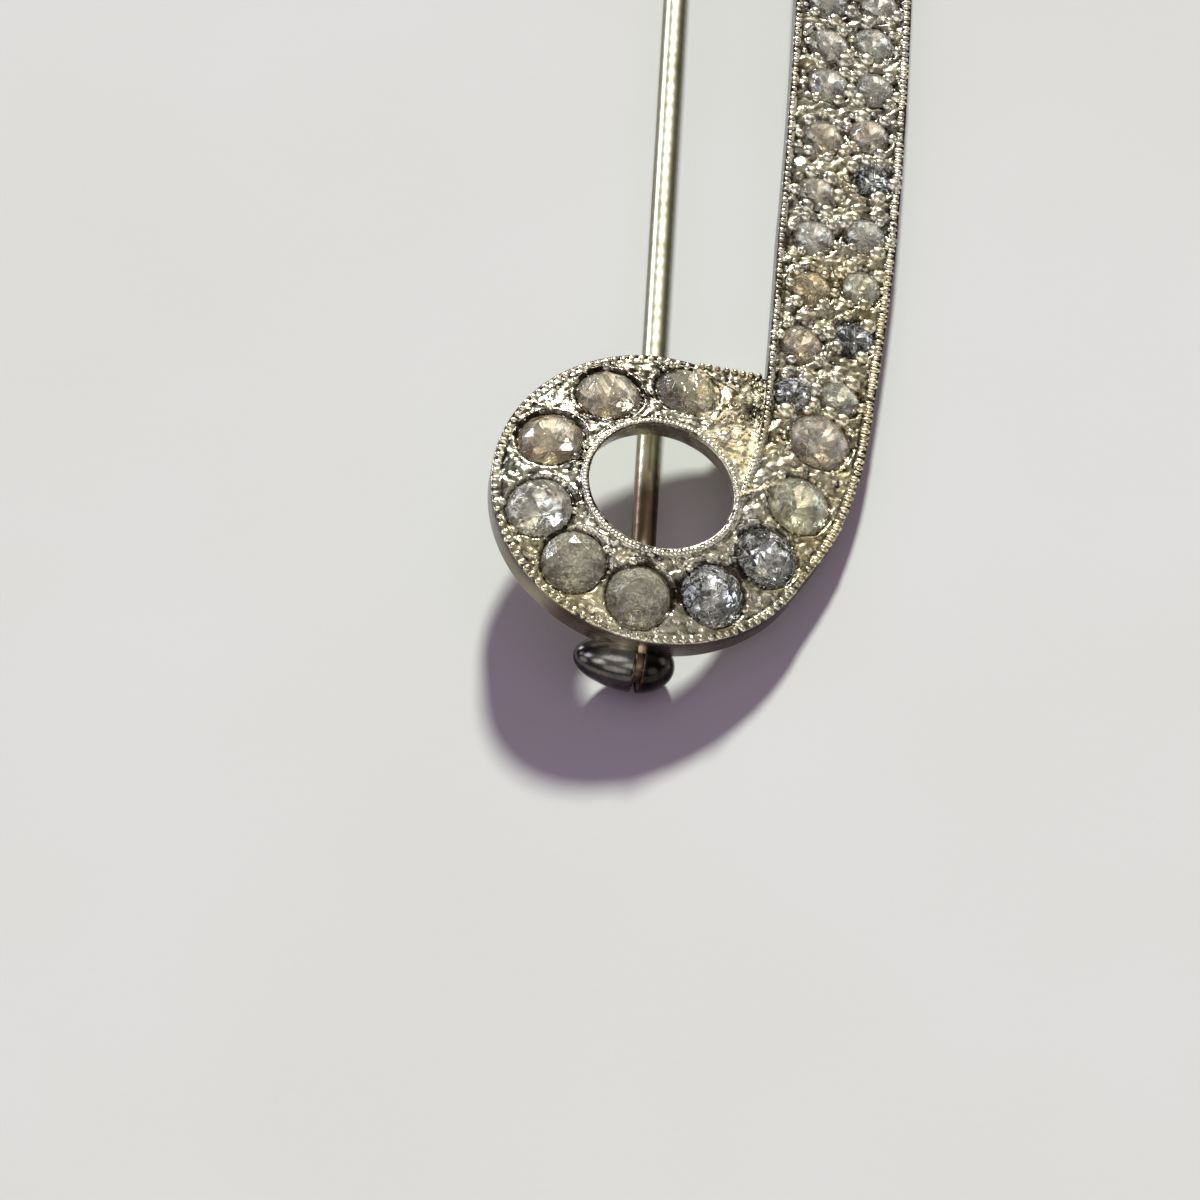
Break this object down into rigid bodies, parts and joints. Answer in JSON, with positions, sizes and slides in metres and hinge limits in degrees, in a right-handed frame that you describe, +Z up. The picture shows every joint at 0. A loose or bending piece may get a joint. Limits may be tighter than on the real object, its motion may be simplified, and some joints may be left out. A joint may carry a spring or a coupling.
{
  "type": "safety pin brooch",
  "caption": "Brooch in the shape of a safety pin: a bar set with clear paste stones curls into a round loop, with a hinged pin behind it that closes in a catch.",
  "frame": {"origin": "centre of the bottom of the brooch's box as it lies on a table on its back, on its hinge, its catch and the edge of its bar", "axes": "+Z up from the table, +Y along the bar from the loop with the hinge to the head with the catch, +X to the right with the stones facing up"},
  "size_m": [0.0184, 0.0678, 0.0058],
  "materials": {
    "cast_metal": "worn pale silver plate over cast white metal, gold-brown and grey where it has worn and tarnished",
    "pin_wire": "plain drawn wire with a worn silver-gold surface",
    "loop_paste": "faceted clear glass paste, yellowed and dull",
    "bar_paste": "small faceted clear glass paste"
  },
  "bodies": {
    "brooch": {"frame": "cast_metal", "hinge_rivet": "cast_metal", "loop_stone_01": "loop_paste", "loop_stone_02": "loop_paste", "loop_stone_03": "loop_paste", "loop_stone_04": "loop_paste", "loop_stone_05": "loop_paste", "loop_stone_06": "loop_paste", "loop_stone_07": "loop_paste", "loop_stone_08": "loop_paste", "loop_stone_09": "loop_paste", "loop_stone_10": "loop_paste", "bar_stone_01": "bar_paste", "bar_stone_02": "bar_paste", "bar_stone_03": "bar_paste", "bar_stone_04": "bar_paste", "bar_stone_05": "bar_paste", "bar_stone_06": "bar_paste", "bar_stone_07": "bar_paste", "bar_stone_08": "bar_paste", "bar_stone_09": "bar_paste", "bar_stone_10": "bar_paste", "bar_stone_11": "bar_paste", "bar_stone_12": "bar_paste", "bar_stone_13": "bar_paste", "bar_stone_14": "bar_paste", "bar_stone_15": "bar_paste", "bar_stone_16": "bar_paste", "bar_stone_17": "bar_paste", "bar_stone_18": "bar_paste", "bar_stone_19": "bar_paste", "bar_stone_20": "bar_paste", "bar_stone_21": "bar_paste", "bar_stone_22": "bar_paste", "bar_stone_23": "bar_paste", "bar_stone_24": "bar_paste", "bar_stone_25": "bar_paste", "bar_stone_26": "bar_paste", "bar_stone_27": "bar_paste", "bar_stone_28": "bar_paste", "bar_stone_29": "bar_paste", "bar_stone_30": "bar_paste"},
    "pin": {"pin_stem": "pin_wire"}
  },
  "joints": [
    {"name": "pin_hinge", "type": "hinge", "parent": "brooch", "child": "pin", "pos_m": [-0.00213, -0.03256, 0.00135], "axis": [-0.9703, 0, 0.2419], "range_deg": [0, 70]}
  ]
}
